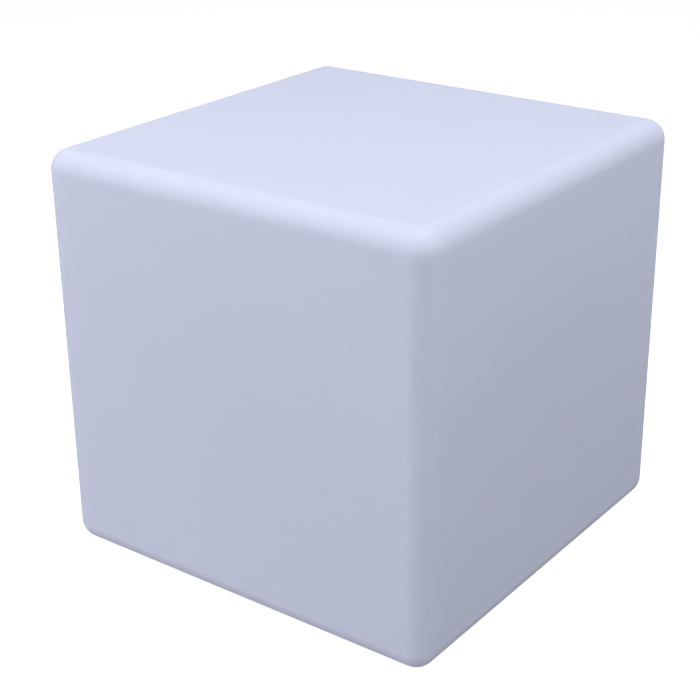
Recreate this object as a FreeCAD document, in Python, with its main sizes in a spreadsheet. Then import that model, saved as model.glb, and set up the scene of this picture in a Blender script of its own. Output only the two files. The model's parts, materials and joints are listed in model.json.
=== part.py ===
"""Cube light: a hollow moulded cube with a sealed light module screwed into a pocket under it.

Millimetres, +Z up. The origin is on the floor, at the middle of the base. The module's button and
charging cover face down, with the button towards -X and the cover towards +X.
"""

import FreeCAD
import Part
import Sketcher
import math
import os
from FreeCAD import Placement, Rotation, Vector

# Driving dimensions: name, size in mm (or a count), what it is.
SIZES = [
    ("side", 400, "outside width and depth of the cube"),
    ("height", 383, "outside height of the cube"),
    ("edge_round", 19, "outside radius of every edge and corner"),
    ("wall", 5, "thickness of the moulded shell"),
    ("pocket_depth", 20, "floor to the pocket's ceiling, where the module seats"),
    ("pocket_draft", 1.2, "how much wider the pocket is at the floor than at its ceiling"),
    ("drum_radius", 68, "outside radius of the module's drum"),
    ("drum_wall", 2.5, "thickness of the drum"),
    ("pass_gap", 2, "room round the drum as it goes up through the shell"),
    ("seat_width", 16, "width of the ring that the module seats on"),
    ("flange_gap", 3, "room between the module's flange and the pocket's wall"),
    ("flange_thickness", 3.5, "thickness of the module's flange"),
    ("gasket_thickness", 1.5, "thickness of the flange gasket as squeezed"),
    ("gasket_margin", 1, "how far the gasket stays from the opening and from the screws"),
    ("panel_radius", 56, "radius of the sunk panel that carries the button and cover"),
    ("panel_recess", 1, "how far the panel is sunk into the module"),
    ("panel_thickness", 3, "thickness of the module's floor"),
    ("flange_screw_count", 4, "screws round the flange"),
    ("flange_screw_radius", 2, "radius of a flange screw's shank"),
    ("flange_screw_length", 13, "length of a flange screw under its head"),
    ("flange_head_radius", 3.9, "radius of a flange screw's head"),
    ("flange_head_height", 2.5, "height of a flange screw's head"),
    ("boss_width", 12, "width of a screw boss in the shell"),
    ("boss_cover", 3.5, "plastic above the screw's bore in a boss"),
    ("screw_bore_depth", 9, "depth of a screw's bore above the pocket's ceiling"),
    ("mouth_chamfer", 3, "chamfer round the pocket's mouth"),
    ("thread_gap", 0.05, "room round a thread or a pressed-in piece"),
    ("hole_gap", 0.3, "room round a screw or barrel in a plain hole"),
    ("small_screw_radius", 1.5, "radius of the screws inside and on the module"),
    ("small_head_radius", 2.8, "radius of their heads"),
    ("small_head_height", 2, "height of their heads"),
    ("lens_thickness", 3, "thickness of the lens"),
    ("led_board_radius", 60, "middle to corner of the eight-sided LED board"),
    ("board_thickness", 1.6, "thickness of both boards"),
    ("led_board_drop", 7, "drum's rim to the LED board's underside"),
    ("led_post_circle", 50, "radius at which the LED board's posts stand"),
    ("post_width", 7, "width of a moulded post"),
    ("inner_ring", 22, "radius of the inner ring of LEDs"),
    ("outer_ring", 42, "radius of the outer ring of LEDs"),
    ("inner_count", 6, "LEDs in the inner ring"),
    ("outer_count", 12, "LEDs in the outer ring"),
    ("led_size", 5, "width of an LED package"),
    ("led_height", 1.1, "height of an LED package"),
    ("window_size", 4, "width of an LED's window"),
    ("window_height", 0.4, "height of an LED's window"),
    ("cell_radius", 9.2, "radius of a battery cell"),
    ("cell_length", 65, "length of a battery cell with its cap"),
    ("cell_gap", 0.3, "gap between the two cells"),
    ("cell_lift", 1, "gap between the cells and the module's floor"),
    ("cell_edge", 10.8, "distance from the module's middle to the nearer cell"),
    ("strap_thickness", 2, "thickness of the battery strap"),
    ("strap_width", 12, "width of the battery strap"),
    ("strap_gap", 0.2, "gap between the cells and the strap"),
    ("strap_clearance", 3.4, "room for the leads between the strap and the LED board"),
    ("board_length", 56, "length of the control board"),
    ("board_width", 23, "width of the control board"),
    ("board_edge", 28, "distance from the module's middle to the control board"),
    ("standoff_height", 6, "height of the control board's posts"),
    ("standoff_width", 5, "width of the control board's posts"),
    ("stake_width", 2.4, "width of the pins that hold the boards and the strap's near end"),
    ("button_x", 24, "button's distance from the middle of the panel"),
    ("button_radius", 4.5, "radius of the button's cap"),
    ("button_gap", 0.2, "room round the button's cap"),
    ("button_travel", 1.5, "how far the button goes in"),
    ("button_proud", 1.6, "how far the button stands out of its bezel"),
    ("bezel_radius", 9, "radius of the switch's bezel"),
    ("bezel_height", 2, "height of the switch's bezel"),
    ("switch_radius", 6, "radius of the switch's barrel"),
    ("switch_length", 19, "length of the switch's barrel behind its bezel"),
    ("nut_flats", 14, "width of the panel nuts across their flats"),
    ("nut_height", 2.5, "height of the panel nuts"),
    ("socket_x", 24, "charging socket's distance from the middle of the panel"),
    ("socket_radius", 5.5, "radius of the socket's barrel"),
    ("socket_length", 14, "length of the socket behind its front"),
    ("socket_lip_radius", 7, "radius of the socket's front lip"),
    ("socket_lip", 1.5, "thickness of the socket's front lip"),
    ("socket_bore", 2.9, "radius of the hole that the charging plug enters"),
    ("socket_depth", 9.5, "depth of that hole"),
    ("contact_radius", 1.05, "radius of the socket's centre pin"),
    ("contact_sink", 2.5, "how far the centre pin's tip lies behind the socket's front"),
    ("cover_half_width", 8, "half the width of the charging cover"),
    ("cover_thickness", 2.8, "thickness of the charging cover"),
    ("cover_gap", 0.4, "room round the charging cover in its well"),
    ("cover_lift", 0.2, "gap between the cover and the bottom of its well"),
    ("cover_overhang", 1, "how far the cover's round end is centred past the socket"),
    ("hinge_x", 8, "cover's bending line, from the middle of the panel"),
    ("root_reach", 2, "bending line to the centre of the cover's fixed end"),
    ("bend_gap", 0.4, "gap between the cover and its fixed end at the bending line"),
    ("well_floor", 2.5, "plastic behind the socket and the cover's stem"),
    ("wire_radius", 0.7, "radius of an insulated wire"),
    ("wire_pitch", 2.5, "distance between wires in a plug"),
]

SHEET = "Sizes"


class Size:
    """A size with its value now and the spreadsheet expression that it comes from."""

    def __init__(self, value, text):
        self.value = value
        self.text = text

    def _join(self, other, sign, value):
        return Size(value, f"({self.text} {sign} {as_size(other).text})")

    def __add__(self, other):
        return self._join(other, "+", self.value + as_size(other).value)

    def __sub__(self, other):
        return self._join(other, "-", self.value - as_size(other).value)

    def __mul__(self, other):
        return self._join(other, "*", self.value * as_size(other).value)

    def __truediv__(self, other):
        return self._join(other, "/", self.value / as_size(other).value)

    def __radd__(self, other):
        return as_size(other) + self

    def __rsub__(self, other):
        return as_size(other) - self

    def __rmul__(self, other):
        return as_size(other) * self

    def __neg__(self):
        return as_size(0) - self


def as_size(value):
    """A plain number as a Size, and a Size as it is."""
    return value if isinstance(value, Size) else Size(float(value), f"{float(value):.9g}")


doc = FreeCAD.newDocument("cube_light")


def fill_sheet():
    """Writes the driving dimensions to the spreadsheet, and returns them as Sizes by name."""
    sheet = doc.addObject("Spreadsheet::Sheet", SHEET)
    found = {}
    for row, (name, value, note) in enumerate(SIZES, start=1):
        sheet.set(f"A{row}", name)
        sheet.set(f"B{row}", str(value))
        sheet.set(f"C{row}", note)
        sheet.setAlias(f"B{row}", name)
        found[name] = Size(float(value), f"{SHEET}.{name}")
    doc.recompute()
    return found


class Named:
    """The driving dimensions as attributes."""

    def __init__(self, found):
        self.__dict__.update(found)


s = Named(fill_sheet())

# Levels, from the floor up.
ceiling = s.pocket_depth
flange_top = ceiling - s.gasket_thickness
flange_under = flange_top - s.flange_thickness
panel_under = flange_under + s.panel_recess
panel_top = panel_under + s.panel_thickness
board_under = panel_top + s.standoff_height
board_top = board_under + s.board_thickness
cell_level = panel_top + s.cell_lift + s.cell_radius
strap_under = cell_level + s.cell_radius + s.strap_gap
led_board_under = strap_under + s.strap_thickness + s.strap_clearance
led_board_top = led_board_under + s.board_thickness
rim = led_board_under + s.led_board_drop
lens_top = rim + s.lens_thickness
well_depth = s.cover_thickness + s.cover_lift
well_bottom = panel_under + well_depth
socket_sink = s.socket_lip
well_top = well_bottom + socket_sink + s.well_floor

# Distances from the module's axis.
drum_inside = s.drum_radius - s.drum_wall
opening_radius = s.drum_radius + s.pass_gap
flange_radius = opening_radius + s.seat_width
flange_screw_circle = opening_radius + s.seat_width / 2
pocket_radius = flange_radius + s.flange_gap
pocket_mouth = pocket_radius + s.pocket_draft
near_cell = s.cell_edge + s.cell_radius
cell_pitch = s.cell_radius * 2 + s.cell_gap
far_cell = near_cell + cell_pitch
between_cells = near_cell + cell_pitch / 2
cover_root_x = s.hinge_x - s.root_reach
cover_tip_x = s.socket_x + s.cover_overhang

COS_POST = math.cos(math.radians(30))
SIN_POST = math.sin(math.radians(30))
HEX_CORNER = 1 / math.cos(math.radians(30))


def new_body(name):
    """An empty PartDesign body, whose Label names its file."""
    body = doc.addObject("PartDesign::Body", name)
    body.Label = name
    body.AllowCompound = True
    return body


def origin_item(body, role):
    """A body's own plane or axis."""
    return next(item for item in body.Origin.OriginFeatures if item.Role == role)


def bind(thing, prop, size):
    """Ties a property to the spreadsheet."""
    thing.setExpression(prop, as_size(size).text)


def new_sketch(body, plane="XY_Plane", lift=0, across=0, up=0):
    """A sketch on a body's own plane, moved along its normal (lift) and in its plane (across, up)."""
    sketch = body.newObject("Sketcher::SketchObject", body.Name + "_sketch")
    sketch.AttachmentSupport = [(origin_item(body, plane), "")]
    sketch.MapMode = "FlatFace"
    for axis, size in (("x", across), ("y", up), ("z", lift)):
        bind(sketch, f".AttachmentOffset.Base.{axis}", size)
    return sketch


def pin_point(sketch, geometry, end, x, y):
    """Fixes a point of a sketch at (x, y)."""
    for kind, size, axis in (("DistanceX", x, -2), ("DistanceY", y, -1)):
        if isinstance(size, Size):
            start = Sketcher.Constraint(kind, -1, 1, geometry, end, size.value)
            bind(sketch, f"Constraints[{sketch.addConstraint(start)}]", size)
        elif size == 0:
            sketch.addConstraint(Sketcher.Constraint("PointOnObject", geometry, end, axis))
        else:
            sketch.addConstraint(Sketcher.Constraint(kind, -1, 1, geometry, end, float(size)))


def add_outline(sketch, points):
    """A closed outline of straight edges through points."""
    base = sketch.GeometryCount
    flat = [(as_size(x).value, as_size(y).value) for x, y in points]
    for number, start in enumerate(flat):
        end = flat[(number + 1) % len(flat)]
        sketch.addGeometry(Part.LineSegment(Vector(*start, 0), Vector(*end, 0)), False)
    for number, (x, y) in enumerate(points):
        after = (number + 1) % len(flat)
        joint = (base + number, 2, base + after, 1)
        sketch.addConstraint(Sketcher.Constraint("Coincident", *joint))
        pin_point(sketch, base + number, 1, x, y)
    return sketch


def add_box(sketch, low_x, low_y, high_x, high_y):
    """A rectangle between two corners."""
    corners = [(low_x, low_y), (high_x, low_y), (high_x, high_y), (low_x, high_y)]
    return add_outline(sketch, corners)


def add_square(sketch, x, y, width):
    """A square about a point."""
    return add_box(sketch, x - width / 2, y - width / 2, x + width / 2, y + width / 2)


def add_circle(sketch, x, y, radius):
    """A circle."""
    number = sketch.GeometryCount
    centre = Vector(as_size(x).value, as_size(y).value, 0)
    sketch.addGeometry(Part.Circle(centre, Vector(0, 0, 1), as_size(radius).value), False)
    start = Sketcher.Constraint("Radius", number, as_size(radius).value)
    bind(sketch, f"Constraints[{sketch.addConstraint(start)}]", radius)
    pin_point(sketch, number, 3, x, y)
    return sketch


def add_polygon(sketch, x, sides, corner, turn=0.0):
    """A regular polygon about (x, 0), given its distance from middle to corner."""
    angles = [turn + 2 * math.pi * number / sides for number in range(sides)]
    corners = [(x + corner * math.cos(angle), corner * math.sin(angle)) for angle in angles]
    return add_outline(sketch, corners)


def add_stadium(sketch, low_x, high_x, radius):
    """A slot shape along X: two half circles of one radius, centred on (low_x, 0) and (high_x, 0)."""
    base = sketch.GeometryCount
    low, high, r = low_x.value, high_x.value, radius.value
    up = Vector(0, 0, 1)
    quarter = math.pi / 2
    left = Part.ArcOfCircle(Part.Circle(Vector(low, 0, 0), up, r), quarter, 3 * quarter)
    right = Part.ArcOfCircle(Part.Circle(Vector(high, 0, 0), up, r), -quarter, quarter)
    bottom = Part.LineSegment(Vector(low, -r, 0), Vector(high, -r, 0))
    top = Part.LineSegment(Vector(high, r, 0), Vector(low, r, 0))
    for edge in (left, bottom, right, top):
        sketch.addGeometry(edge, False)
    for joint in ((0, 2, 1, 1), (1, 2, 2, 1), (2, 2, 3, 1), (3, 2, 0, 1)):
        first, first_end, second, second_end = joint
        ends = (base + first, first_end, base + second, second_end)
        sketch.addConstraint(Sketcher.Constraint("Tangent", *ends))
    pin_point(sketch, base, 3, low_x, 0)
    pin_point(sketch, base + 2, 3, high_x, 0)
    start = Sketcher.Constraint("Radius", base, r)
    bind(sketch, f"Constraints[{sketch.addConstraint(start)}]", radius)
    return sketch


def volume_now(body):
    return body.Shape.Volume if body.Tip and not body.Shape.isNull() else 0.0


def add_feature(body, kind, settings):
    """Adds a feature to a body, sets it up, and checks that it changed the body's volume."""
    before = volume_now(body)
    feature = body.newObject("PartDesign::" + kind, f"{body.Name}_{kind.lower()}")
    for name, value in settings.items():
        if isinstance(value, Size):
            bind(feature, name, value)
        else:
            setattr(feature, name, value)
    body.Tip = feature
    doc.recompute()
    if abs(volume_now(body) - before) < 1e-6:
        raise RuntimeError(f"{feature.Name} of {body.Label} changed nothing")
    return feature


def pad(body, sketch, length):
    """Adds a sketch's shape, along its plane's normal."""
    return add_feature(body, "Pad", {"Profile": sketch, "Length": as_size(length)})


def pocket(body, sketch, length):
    """Cuts a sketch's shape out, along its plane's normal."""
    settings = {"Profile": sketch, "Length": as_size(length), "Reversed": True}
    return add_feature(body, "Pocket", settings)


def revolve(body, sketch, cut=False, axis="V_Axis"):
    """Turns a sketch's shape round one of the sketch's own axes, to add or to cut."""
    kind = "Groove" if cut else "Revolution"
    return add_feature(
        body, kind, {"Profile": sketch, "ReferenceAxis": (sketch, [axis]), "Angle": 360.0}
    )


def turned(name, points, across=0):
    """A body turned from a profile of (radius, level) about a vertical axis."""
    body = new_body(name)
    sketch = new_sketch(body, "XZ_Plane", across=across)
    revolve(body, add_outline(sketch, points))
    return body


def around(body, features, count):
    """Repeats features round the vertical axis."""
    settings = {
        "Originals": features,
        "Axis": (origin_item(body, "Z_Axis"), [""]),
        "Angle": 360.0,
        "Occurrences": as_size(count),
    }
    return add_feature(body, "PolarPattern", settings)


def row_of(body, features, axis, length, count):
    """Repeats features along one of the body's axes, over a length."""
    settings = {
        "Originals": features,
        "Direction": (origin_item(body, axis), [""]),
        "Length": as_size(length),
        "Occurrences": count,
    }
    return add_feature(body, "LinearPattern", settings)


def edges_where(body, test):
    """The names of a body's edges that pass a test on the edge."""
    edges = enumerate(body.Shape.Edges, start=1)
    return [f"Edge{number}" for number, edge in edges if test(edge)]


def blend(body, kind, names, size):
    """A Fillet or a Chamfer on named edges of a body's last feature."""
    prop = "Radius" if kind == "Fillet" else "Size"
    return add_feature(body, kind, {"Base": (body.Tip, names), prop: as_size(size)})


def is_circle(radius, level):
    """A test for a whole circle round a vertical axis, of a radius and at a level."""

    def test(edge):
        if edge.Degenerated:
            return False
        curve = edge.Curve
        return (
            isinstance(curve, Part.Circle)
            and abs(abs(curve.Axis.z) - 1) < 1e-6
            and abs(curve.Radius - as_size(radius).value) < 1e-4
            and abs(curve.Center.z - as_size(level).value) < 1e-4
        )

    return test


# ---- the shell ----


def is_upright(edge):
    """A test for a straight vertical edge."""
    return isinstance(edge.Curve, Part.Line) and abs(abs(edge.Curve.Direction.z) - 1) < 1e-6


def is_level(edge):
    """A test for an edge whose ends are at one level."""
    first, last = edge.Vertexes[0].Point, edge.Vertexes[-1].Point
    return abs(first.z - last.z) < 1e-6


def rounded_block(name, inset, test):
    """A block, a given distance inside the cube's outline, rounded at the edges that pass a test."""
    body = new_body(name)
    half = s.side / 2 - inset
    pad(body, add_box(new_sketch(body, lift=inset), -half, -half, half, half), s.height - inset * 2)
    blend(body, "Fillet", edges_where(body, test), s.edge_round - inset)
    return body


def make_shell():
    """The hollow cube, with the module's pocket, its opening and the bosses for its screws."""
    core = rounded_block("shell_core", s.wall, is_upright)
    blend(core, "Chamfer", edges_where(core, is_level), (s.edge_round - s.wall) * (2 - math.sqrt(2)))
    behind_pocket = [
        (0, 0),
        (pocket_mouth + s.wall, 0),
        (pocket_radius + s.wall, ceiling + s.wall),
        (0, ceiling + s.wall),
    ]
    revolve(core, add_outline(new_sketch(core, "XZ_Plane"), behind_pocket), cut=True)
    boss_sketch = new_sketch(core, lift=ceiling)
    add_square(boss_sketch, flange_screw_circle, as_size(0), s.boss_width)
    boss = pocket(core, boss_sketch, s.screw_bore_depth + s.boss_cover)
    around(core, [boss], s.flange_screw_count)

    shell = rounded_block("shell", as_size(0), lambda edge: True)
    add_feature(shell, "Boolean", {"Type": "Cut", "Group": [core]})
    hollow = [(0, 0), (pocket_mouth, 0), (pocket_radius, ceiling), (0, ceiling)]
    revolve(shell, add_outline(new_sketch(shell, "XZ_Plane"), hollow), cut=True)
    opening = add_circle(new_sketch(shell, lift=ceiling), 0, 0, opening_radius)
    pocket(shell, opening, s.wall)
    bore_sketch = new_sketch(shell, lift=ceiling)
    add_circle(bore_sketch, flange_screw_circle, 0, s.flange_screw_radius + s.thread_gap)
    bore = pocket(shell, bore_sketch, s.screw_bore_depth)
    around(shell, [bore], s.flange_screw_count)
    blend(shell, "Chamfer", edges_where(shell, is_circle(pocket_mouth, 0)), s.mouth_chamfer)
    return shell


def make_gasket():
    """The flat gasket between the module's flange and the pocket's ceiling, inside the screws."""
    body = new_body("flange_gasket")
    sketch = new_sketch(body, lift=flange_top)
    add_circle(sketch, 0, 0, flange_screw_circle - s.flange_screw_radius - s.gasket_margin)
    add_circle(sketch, 0, 0, opening_radius + s.gasket_margin)
    pad(body, sketch, s.gasket_thickness)
    return body


# ---- fasteners ----


def screw_profile(seat, shank_radius, length, head_radius, head_height, down):
    """Half of a cheese-head screw, as (radius, level), with its head under its seat if down is true."""
    way = 1 if down else -1
    return [
        (0, seat - way * head_height),
        (head_radius, seat - way * head_height),
        (head_radius, seat),
        (shank_radius, seat),
        (shank_radius, seat + way * length),
        (0, seat + way * length),
    ]


def make_flange_screws():
    """The screws that hold the module up in the shell."""
    profile = screw_profile(
        flange_under,
        s.flange_screw_radius,
        s.flange_screw_length,
        s.flange_head_radius,
        s.flange_head_height,
        down=True,
    )
    body = turned("flange_screws", profile, across=flange_screw_circle)
    around(body, [body.Tip], s.flange_screw_count)
    return body


def led_post_place(number):
    """Where the LED board's post stands, for each of the four. The first and third have a pin."""
    sign_x = 1 if number in (0, 3) else -1
    sign_y = 1 if number in (0, 1) else -1
    return s.led_post_circle * COS_POST * sign_x, s.led_post_circle * SIN_POST * sign_y


# ---- the module's housing ----

SCREW_HOLE_DEPTH = 10
STAKE_PROUD = 1
SADDLE_X = 20
SADDLE_THICKNESS = 2.5
STOP_WIDTH = 7
POST_GAP = 0.8
STOP_GAP = 0.2
CLAMP_NEAR_Y = s.cell_edge - s.post_width / 2 - POST_GAP
CLAMP_FAR_Y = far_cell + s.cell_radius + s.post_width / 2 + POST_GAP
BOARD_HOLE_INSET = 2.7


def board_post_places():
    """Where the control board's four posts stand. The first and third have a pin."""
    x = s.board_length / 2 - BOARD_HOLE_INSET
    near = -(s.board_edge + BOARD_HOLE_INSET)
    far = -(s.board_edge + s.board_width - BOARD_HOLE_INSET)
    return [(x, near), (-x, near), (-x, far), (x, far)]


def housing_profile():
    """Half of the housing: sunk panel, flange and drum, as (radius, level)."""
    return [
        (0, panel_under),
        (s.panel_radius, panel_under),
        (s.panel_radius + 1, flange_under),
        (flange_radius, flange_under),
        (flange_radius, flange_top),
        (s.drum_radius, flange_top),
        (s.drum_radius, rim),
        (drum_inside, rim),
        (drum_inside, panel_top),
        (0, panel_top),
    ]


def add_square_posts(body, places, width, top):
    """Square posts on the module's floor."""
    sketch = new_sketch(body, lift=panel_top)
    for x, y in places:
        add_square(sketch, x, y, width)
    pad(body, sketch, top - panel_top)


def add_staked_posts(body, places, width, top):
    """Four posts under a board, and pins on two of them that are melted over it."""
    add_square_posts(body, places, width, top)
    pins = new_sketch(body, lift=top)
    for x, y in places[::2]:
        add_square(pins, x, y, s.stake_width)
    pad(body, pins, s.board_thickness + STAKE_PROUD)


def add_strap_posts(body):
    """The battery strap's two posts: a pin on the near one and a screw hole in the far one."""
    near, far = (as_size(0), CLAMP_NEAR_Y), (as_size(0), CLAMP_FAR_Y)
    add_square_posts(body, [near, far], s.post_width, strap_under)
    pad(
        body,
        add_square(new_sketch(body, lift=strap_under), *near, s.stake_width),
        s.strap_thickness + STAKE_PROUD,
    )
    hole = new_sketch(body, lift=strap_under - SCREW_HOLE_DEPTH)
    pocket(body, add_circle(hole, *far, s.small_screw_radius + s.thread_gap), SCREW_HOLE_DEPTH)


def add_cradle(body):
    """Two saddle ribs under the cells and four stops at their ends."""
    ribs = new_sketch(body, lift=panel_top)
    for low in (SADDLE_X - SADDLE_THICKNESS, -SADDLE_X):
        edge = as_size(low)
        start = near_cell - s.cell_radius
        add_box(ribs, edge, start, edge + SADDLE_THICKNESS, far_cell + s.cell_radius)
    pad(body, ribs, s.cell_lift + s.cell_radius * 0.7)
    for y in (near_cell, far_cell):
        saddle = new_sketch(body, "YZ_Plane", lift=-s.cell_length / 2)
        add_circle(saddle, y, cell_level, s.cell_radius + s.thread_gap)
        pocket(body, saddle, s.cell_length)
    stops = new_sketch(body, lift=panel_top)
    face = s.cell_length / 2 + TAB_THICKNESS + STOP_GAP
    for y in (near_cell, far_cell):
        low, high = y - STOP_WIDTH / 2, y + STOP_WIDTH / 2
        add_box(stops, face, low, face + SADDLE_THICKNESS, high)
        add_box(stops, -face - SADDLE_THICKNESS, low, -face, high)
    pad(body, stops, s.cell_lift + s.cell_radius)


def add_cover_well(body):
    """The well that the charging cover lies in, the socket's seat and the cover stem's hole."""
    back = new_sketch(body, lift=panel_top)
    add_stadium(back, cover_root_x, cover_tip_x, s.cover_half_width + s.cover_gap + s.well_floor)
    pad(body, back, well_top - panel_top)
    well = new_sketch(body, lift=panel_under)
    add_stadium(well, cover_root_x, cover_tip_x, s.cover_half_width + s.cover_gap)
    pocket(body, well, well_depth)
    sink = new_sketch(body, lift=well_bottom)
    add_circle(sink, s.socket_x, 0, s.socket_lip_radius + s.hole_gap)
    pocket(body, sink, socket_sink)
    through = new_sketch(body, lift=well_bottom)
    add_circle(through, s.socket_x, 0, s.socket_radius + s.hole_gap)
    add_circle(through, cover_root_x - STEM_SET_BACK, 0, STEM_RADIUS + s.thread_gap)
    pocket(body, through, well_top - well_bottom)
    scoop = new_sketch(body, lift=panel_under)
    add_circle(scoop, cover_tip_x + s.cover_half_width + SCOOP_SHIFT, 0, as_size(SCOOP_RADIUS))
    pocket(body, scoop, SCOOP_DEPTH)


def make_housing():
    """The module's moulded housing, open at its top."""
    body = turned("module_housing", housing_profile())
    add_cover_well(body)
    led_places = [led_post_place(number) for number in range(4)]
    add_staked_posts(body, led_places, s.post_width, led_board_under)
    add_staked_posts(body, board_post_places(), s.standoff_width, board_under)
    add_strap_posts(body)
    add_cradle(body)

    switch_hole = new_sketch(body, lift=panel_under)
    add_circle(switch_hole, -s.button_x, 0, s.switch_radius + s.hole_gap)
    pocket(body, switch_hole, s.panel_thickness)
    through = new_sketch(body, lift=flange_under)
    add_circle(through, flange_screw_circle, 0, s.flange_screw_radius + s.hole_gap)
    around(body, [pocket(body, through, s.flange_thickness)], s.flange_screw_count)
    return body


TAB_THICKNESS = 0.3
STEM_RADIUS = 1.6
STEM_SET_BACK = 1.5
SCOOP_SHIFT = 1.5
SCOOP_RADIUS = 5
SCOOP_DEPTH = 1.8


# ---- battery ----


def make_cells():
    """Two cells side by side, in their sleeves."""
    body = new_body("battery_cells")
    sketch = new_sketch(body, "XZ_Plane", lift=-near_cell, up=cell_level)
    half = s.cell_length / 2
    profile = [(-half, 0), (-half, s.cell_radius), (half, s.cell_radius), (half, 0)]
    revolve(body, add_outline(sketch, profile), axis="H_Axis")
    row_of(body, [body.Tip], "Y_Axis", cell_pitch, 2)
    return body


def make_tabs():
    """The welded strips that join the cells at each end."""
    body = new_body("cell_tabs")
    half_width = 3.5
    end = s.cell_length / 2
    for start in (end, -end - TAB_THICKNESS):
        sketch = new_sketch(body, "YZ_Plane", lift=start)
        low = near_cell - half_width
        add_box(sketch, low, cell_level - half_width, far_cell + half_width, cell_level + half_width)
        pad(body, sketch, TAB_THICKNESS)
    return body


def make_strap():
    """The strap over the cells, with a raised rib along it."""
    body = new_body("battery_strap")
    half = s.strap_width / 2
    low, high = CLAMP_NEAR_Y - s.post_width / 2, CLAMP_FAR_Y + s.post_width / 2
    sketch = new_sketch(body, lift=strap_under)
    add_box(sketch, -half, low, half, high)
    pad(body, sketch, s.strap_thickness)
    rib = new_sketch(body, lift=strap_under + s.strap_thickness)
    inset = s.small_head_radius + 1.5
    add_box(rib, as_size(-1), CLAMP_NEAR_Y + inset, as_size(1), CLAMP_FAR_Y - inset)
    pad(body, rib, 1)
    holes = new_sketch(body, lift=strap_under)
    add_square(holes, as_size(0), CLAMP_NEAR_Y, s.stake_width + s.thread_gap * 2)
    add_circle(holes, 0, CLAMP_FAR_Y, s.small_screw_radius + s.hole_gap)
    pocket(body, holes, s.strap_thickness)
    return body


def make_strap_screw():
    """The screw at the strap's far end."""
    body = new_body("strap_screw")
    sketch = new_sketch(body, "XZ_Plane", lift=-CLAMP_FAR_Y)
    seat = strap_under + s.strap_thickness
    head = (s.small_head_radius, s.small_head_height)
    profile = screw_profile(seat, s.small_screw_radius, as_size(8), *head, down=False)
    revolve(body, add_outline(sketch, profile))
    return body


# ---- control board ----

PLUG_Y = -(s.board_edge + s.board_width - 5)
PART_Y = -(s.board_edge + 7)
HEADER_DEPTH = 5
HEADER_HEIGHT = 6
HEADER_WALL = 0.8
PLUG_HEIGHT = 8.5
# Each plug's place along the board, and how many wires it takes.
PLUGS = {"switch": (-19, 2), "led": (-6, 5), "battery": (8, 2), "socket": (18, 2)}


def header_width(wires):
    """Width of a header for a number of wires."""
    return s.wire_pitch * (wires - 1) + 4


def make_control_board():
    """The control board, with the holes for its pins."""
    body = new_body("control_board")
    half = s.board_length / 2
    sketch = new_sketch(body, lift=board_under)
    add_box(sketch, -half, -(s.board_edge + s.board_width), half, -s.board_edge)
    for x, y in board_post_places()[::2]:
        add_square(sketch, x, y, s.stake_width + s.thread_gap * 2)
    pad(body, sketch, s.board_thickness)
    return body


def add_block(body, x, y, width, depth, level, height):
    """A rectangular solid centred on (x, y)."""
    sketch = new_sketch(body, lift=level)
    x, y, width, depth = (as_size(value) for value in (x, y, width, depth))
    add_box(sketch, x - width / 2, y - depth / 2, x + width / 2, y + depth / 2)
    return pad(body, sketch, height)


def make_chips():
    """The controller, the charging chip and the four LED drivers."""
    body = new_body("board_chips")
    add_block(body, 1, PART_Y, 10, 4, board_top, 1.5)
    add_block(body, -7, PART_Y, 4, 5, board_top, 1.4)
    for x in (-4.5, -0.5, 3.5, 7.5):
        add_block(body, x, PART_Y + 4.2, 3, 1.6, board_top, 1.1)
    return body


def make_coil():
    """The charger's coil, in its square case."""
    body = new_body("power_coil")
    add_block(body, -15, PART_Y, 8, 8, board_top, 4.5)
    return body


def make_capacitor():
    """The can capacitor."""
    body = new_body("capacitor")
    pad(body, add_circle(new_sketch(body, lift=board_top), 16, PART_Y, as_size(3.15)), 7.7)
    return body


def make_headers():
    """The headers on the control board, open at their tops."""
    body = new_body("board_headers")
    for x, wires in PLUGS.values():
        width = header_width(wires)
        add_block(body, x, PLUG_Y, width, HEADER_DEPTH, board_top, HEADER_HEIGHT)
        inside = new_sketch(body, lift=board_top + 1)
        half, deep = width / 2 - HEADER_WALL, HEADER_DEPTH / 2 - HEADER_WALL
        add_box(inside, x - half, PLUG_Y - deep, x + half, PLUG_Y + deep)
        pocket(body, inside, HEADER_HEIGHT - 1)
    return body


def make_plugs():
    """The plugs on the leads' ends, seated in their headers."""
    body = new_body("lead_plugs")
    for x, wires in PLUGS.values():
        width = header_width(wires) - 2 * (HEADER_WALL + 0.1)
        depth = HEADER_DEPTH - 2 * (HEADER_WALL + 0.1)
        add_block(body, x, PLUG_Y, width, depth, board_top + 1, PLUG_HEIGHT - 1)
    return body


# ---- LED board and lens ----


def make_led_board():
    """The eight-sided LED board, with the holes for its pins and a slot for its lead."""
    body = new_body("led_board")
    sketch = new_sketch(body, lift=led_board_under)
    add_polygon(sketch, 0, 8, s.led_board_radius, math.radians(22.5))
    for number in (0, 2):
        add_square(sketch, *led_post_place(number), s.stake_width + s.thread_gap * 2)
    x, wires = PLUGS["led"]
    half = s.wire_pitch * (wires - 1) / 2 + 1.5
    add_box(sketch, x - half, LED_SLOT_Y - 1.5, x + half, LED_SLOT_Y + 1.5)
    pad(body, sketch, s.board_thickness)
    return body


LED_SLOT_Y = -(s.outer_ring - 6)
LED_PAD_Y = LED_SLOT_Y + 8


def led_rings(name, width, level, height):
    """A square block on each LED's place, in two rings."""
    body = new_body(name)
    for radius, count in ((s.inner_ring, s.inner_count), (s.outer_ring, s.outer_count)):
        around(body, [add_block(body, radius, 0, width, width, level, height)], count)
    return body


def make_receiver():
    """The remote control's receiver, at the middle of the LED board, with a round eye."""
    body = new_body("remote_receiver")
    add_block(body, 0, 0, 7, 5, led_board_top, 3.2)
    pad(body, add_circle(new_sketch(body, lift=led_board_top + 3.2), 0, 0, as_size(2)), 1)
    return body


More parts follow.
